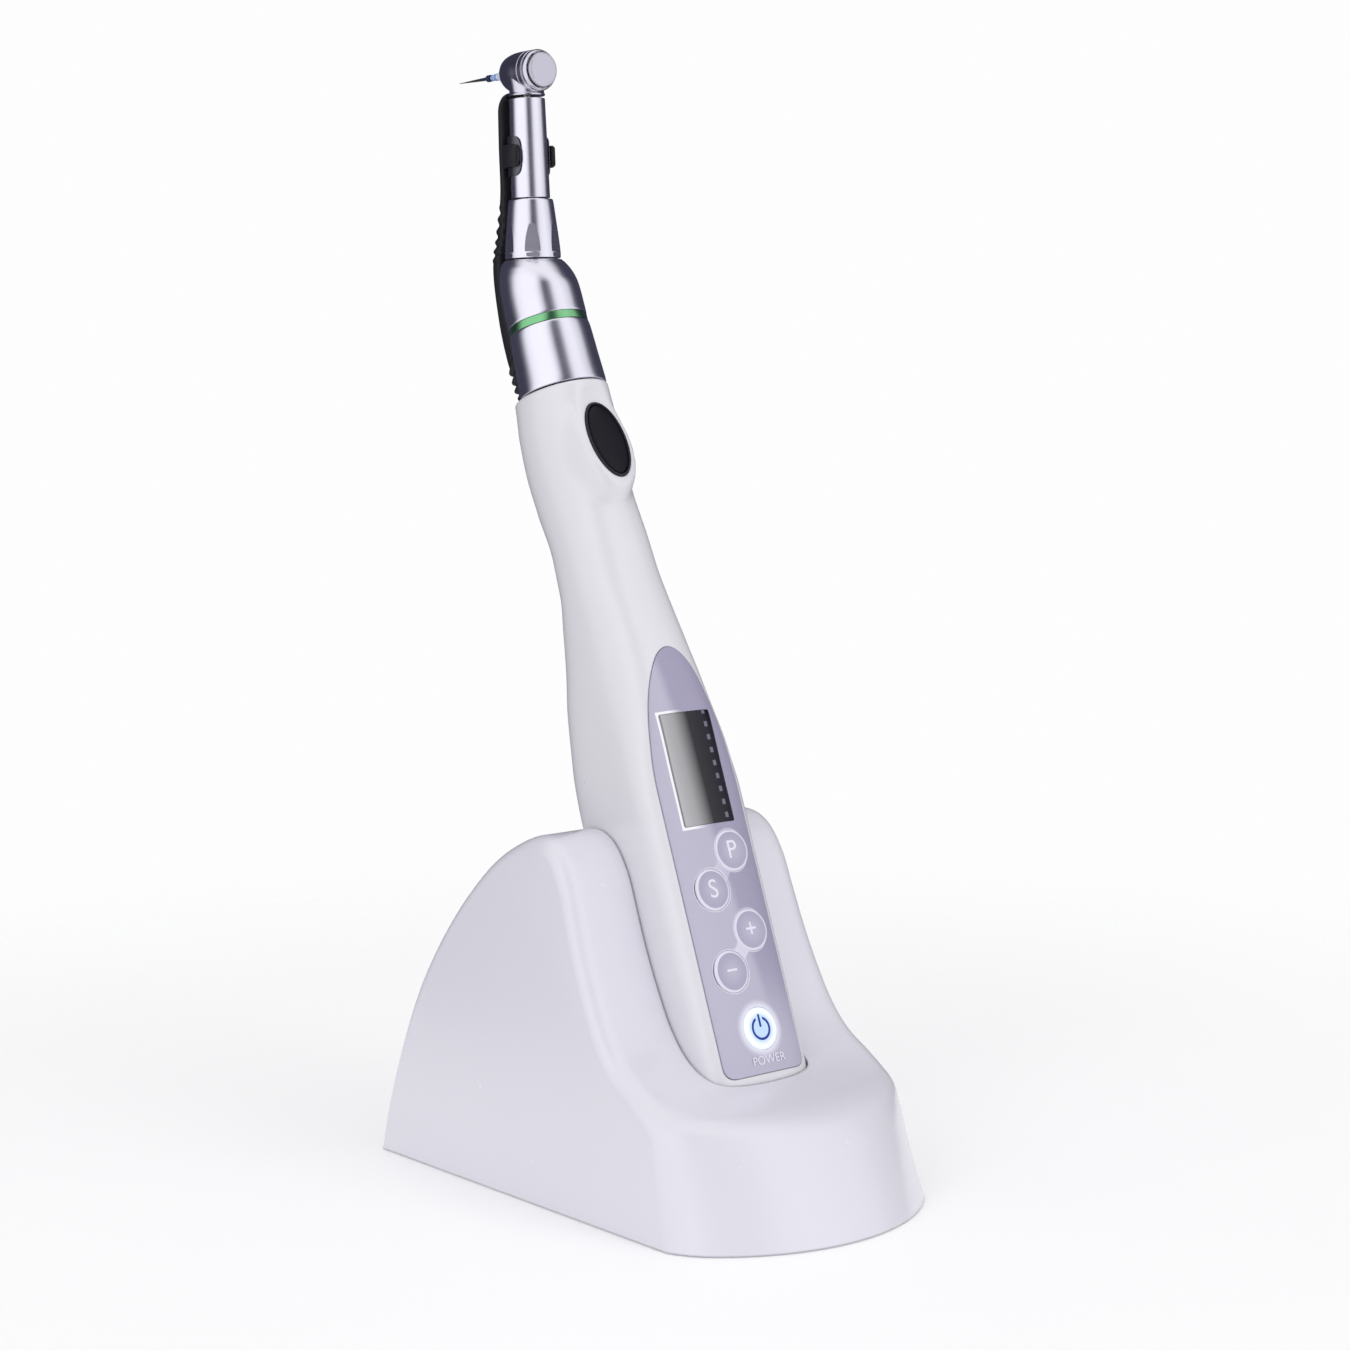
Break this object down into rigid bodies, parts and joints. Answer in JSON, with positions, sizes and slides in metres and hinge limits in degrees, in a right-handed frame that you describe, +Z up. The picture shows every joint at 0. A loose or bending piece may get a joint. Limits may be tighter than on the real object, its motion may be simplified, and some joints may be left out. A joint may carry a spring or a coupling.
{
  "type": "endodontic motor",
  "caption": "Cordless root-canal motor with a bent metal contra-angle, a fine file in its head, keys and a display on the grip, leaning in a charging base.",
  "frame": {"origin": "on the table under the middle of the bounding box", "axes": "+Z up, the control face looks towards -Y, +X to the right hand of the object seen from behind"},
  "size_m": [0.073, 0.1378, 0.2527],
  "materials": {
    "shell": "polished pale lilac white",
    "underside": "fine texture",
    "feet": "matte",
    "fasteners": "plated",
    "weight": "bare",
    "boards": "solder mask",
    "black_plastic": "satin black",
    "arm_plastic": "soft black",
    "contacts": "plated",
    "head_metal": "satin",
    "inner_metal": "machined",
    "ring_paint": "green band",
    "overlay": "fine satin",
    "keys": "fine satin",
    "lamp": "translucent white",
    "window": "clear",
    "cell": "shrink sleeve",
    "file_metal": "fine",
    "stop_rubber": "matte"
  },
  "bodies": {
    "base": {"base_shell": "shell", "base_plate": "underside", "foot_1": "feet", "foot_2": "feet", "foot_3": "feet", "foot_4": "feet", "base_screw_1": "fasteners", "base_screw_2": "fasteners", "base_screw_3": "fasteners", "base_screw_4": "fasteners", "base_weight": "weight", "charger_board": "boards", "power_jack": "black_plastic", "contact_block": "black_plastic"},
    "charge_pin_1": {"charge_pin_1": "contacts"},
    "charge_pin_2": {"charge_pin_2": "contacts"},
    "handpiece": {"front_housing": "shell", "rear_housing": "shell", "control_panel": "overlay", "display_window": "window", "display_module": "black_plastic", "main_board": "boards", "battery_cell": "cell", "start_button_bezel": "black_plastic", "start_switch": "black_plastic", "charge_contact_1": "contacts", "charge_contact_2": "contacts", "housing_screw": "fasteners", "motor_can": "inner_metal", "nose_collar": "head_metal"},
    "key_program": {"key_program": "keys"},
    "key_select": {"key_select": "keys"},
    "key_plus": {"key_plus": "keys"},
    "key_minus": {"key_minus": "keys"},
    "key_power": {"key_power": "lamp"},
    "start_button": {"start_button": "black_plastic"},
    "motor_rotor": {"motor_rotor": "inner_metal"},
    "contra_angle": {"sheath": "head_metal", "ratio_ring": "ring_paint", "shoulder": "head_metal", "ring_gear": "inner_metal", "neck_collar": "head_metal", "neck_tube": "head_metal", "neck_bearing": "contacts", "head_housing": "head_metal", "cap_spring": "inner_metal", "electrode_arm": "arm_plastic", "clip_spring": "inner_metal"},
    "input_shaft": {"input_shaft": "inner_metal"},
    "planet_carrier": {"planet_carrier": "inner_metal"},
    "planet_gear_1": {"planet_gear_1": "inner_metal"},
    "planet_gear_2": {"planet_gear_2": "inner_metal"},
    "planet_gear_3": {"planet_gear_3": "inner_metal"},
    "neck_shaft": {"neck_shaft": "inner_metal"},
    "chuck_spindle": {"chuck_spindle": "inner_metal"},
    "push_cap": {"push_cap": "head_metal"},
    "file": {"file": "file_metal", "file_stop": "stop_rubber"}
  },
  "joints": [
    {"name": "charge_pin_1_travel", "type": "slide", "parent": "base", "child": "charge_pin_1", "axis": [0, 0.3502, 0.9367], "range_m": [-0.0015, 0], "stiffness_N_per_m": 400, "springref_m": 0.0012},
    {"name": "charge_pin_2_travel", "type": "slide", "parent": "base", "child": "charge_pin_2", "axis": [0, 0.3502, 0.9367], "range_m": [-0.0015, 0], "stiffness_N_per_m": 400, "springref_m": 0.0012},
    {"name": "handpiece_lift", "type": "slide", "parent": "base", "child": "handpiece", "axis": [0, 0.3502, 0.9367], "range_m": [0, 0.09]},
    {"name": "key_program_press", "type": "slide", "parent": "handpiece", "child": "key_program", "axis": [0, 0.9367, -0.3502], "range_m": [0, 0.0005], "stiffness_N_per_m": 2000, "springref_m": -0.0005},
    {"name": "key_select_press", "type": "slide", "parent": "handpiece", "child": "key_select", "axis": [0, 0.9367, -0.3502], "range_m": [0, 0.0005], "stiffness_N_per_m": 2000, "springref_m": -0.0005},
    {"name": "key_plus_press", "type": "slide", "parent": "handpiece", "child": "key_plus", "axis": [0, 0.9367, -0.3502], "range_m": [0, 0.0005], "stiffness_N_per_m": 2000, "springref_m": -0.0005},
    {"name": "key_minus_press", "type": "slide", "parent": "handpiece", "child": "key_minus", "axis": [0, 0.9367, -0.3502], "range_m": [0, 0.0005], "stiffness_N_per_m": 2000, "springref_m": -0.0005},
    {"name": "key_power_press", "type": "slide", "parent": "handpiece", "child": "key_power", "axis": [0, 0.9367, -0.3502], "range_m": [0, 0.0005], "stiffness_N_per_m": 2000, "springref_m": -0.0005},
    {"name": "start_button_press", "type": "slide", "parent": "handpiece", "child": "start_button", "axis": [0, 0.8526, -0.5225], "range_m": [0, 0.0005], "stiffness_N_per_m": 2000, "springref_m": -0.0005},
    {"name": "motor_spin", "type": "hinge", "parent": "handpiece", "child": "motor_rotor", "pos_m": [0, 0.02352, 0.15799], "axis": [0, 0.3502, 0.9367], "continuous": true},
    {"name": "contra_angle_pull", "type": "slide", "parent": "handpiece", "child": "contra_angle", "axis": [0, 0.3502, 0.9367], "range_m": [0, 0.02]},
    {"name": "input_spin", "type": "hinge", "parent": "contra_angle", "child": "input_shaft", "pos_m": [0, 0.03402, 0.18609], "axis": [0, 0.3502, 0.9367], "continuous": true},
    {"name": "carrier_spin", "type": "hinge", "parent": "contra_angle", "child": "planet_carrier", "pos_m": [0, 0.03788, 0.1964], "axis": [0, 0.3502, 0.9367], "continuous": true},
    {"name": "planet_1_spin", "type": "hinge", "parent": "planet_carrier", "child": "planet_gear_1", "pos_m": [0.0042, 0.03697, 0.19396], "axis": [0, 0.3502, 0.9367], "continuous": true},
    {"name": "planet_2_spin", "type": "hinge", "parent": "planet_carrier", "child": "planet_gear_2", "pos_m": [-0.0021, 0.04037, 0.19269], "axis": [0, 0.3502, 0.9367], "continuous": true},
    {"name": "planet_3_spin", "type": "hinge", "parent": "planet_carrier", "child": "planet_gear_3", "pos_m": [-0.0021, 0.03356, 0.19524], "axis": [0, 0.3502, 0.9367], "continuous": true},
    {"name": "neck_shaft_spin", "type": "hinge", "parent": "contra_angle", "child": "neck_shaft", "pos_m": [0, 0.04225, 0.22527], "axis": [0, 0.0523, 0.9986], "continuous": true},
    {"name": "chuck_spin", "type": "hinge", "parent": "contra_angle", "child": "chuck_spindle", "pos_m": [0, 0.04343, 0.24774], "axis": [0, 0.9986, -0.0523], "continuous": true},
    {"name": "cap_press", "type": "slide", "parent": "contra_angle", "child": "push_cap", "axis": [0, 0.9986, -0.0523], "range_m": [0, 0.0006], "stiffness_N_per_m": 2000, "springref_m": -0.0005},
    {"name": "file_release", "type": "slide", "parent": "chuck_spindle", "child": "file", "axis": [0, 0.9986, -0.0523], "range_m": [0, 0.012]}
  ],
  "couplings": [
    {"joint": "input_spin", "follows": "motor_spin", "ratio": 1},
    {"joint": "carrier_spin", "follows": "motor_spin", "ratio": 0.25},
    {"joint": "planet_1_spin", "follows": "motor_spin", "ratio": -0.75},
    {"joint": "planet_2_spin", "follows": "motor_spin", "ratio": -0.75},
    {"joint": "planet_3_spin", "follows": "motor_spin", "ratio": -0.75},
    {"joint": "neck_shaft_spin", "follows": "motor_spin", "ratio": 0.25},
    {"joint": "chuck_spin", "follows": "motor_spin", "ratio": 0.125}
  ]
}
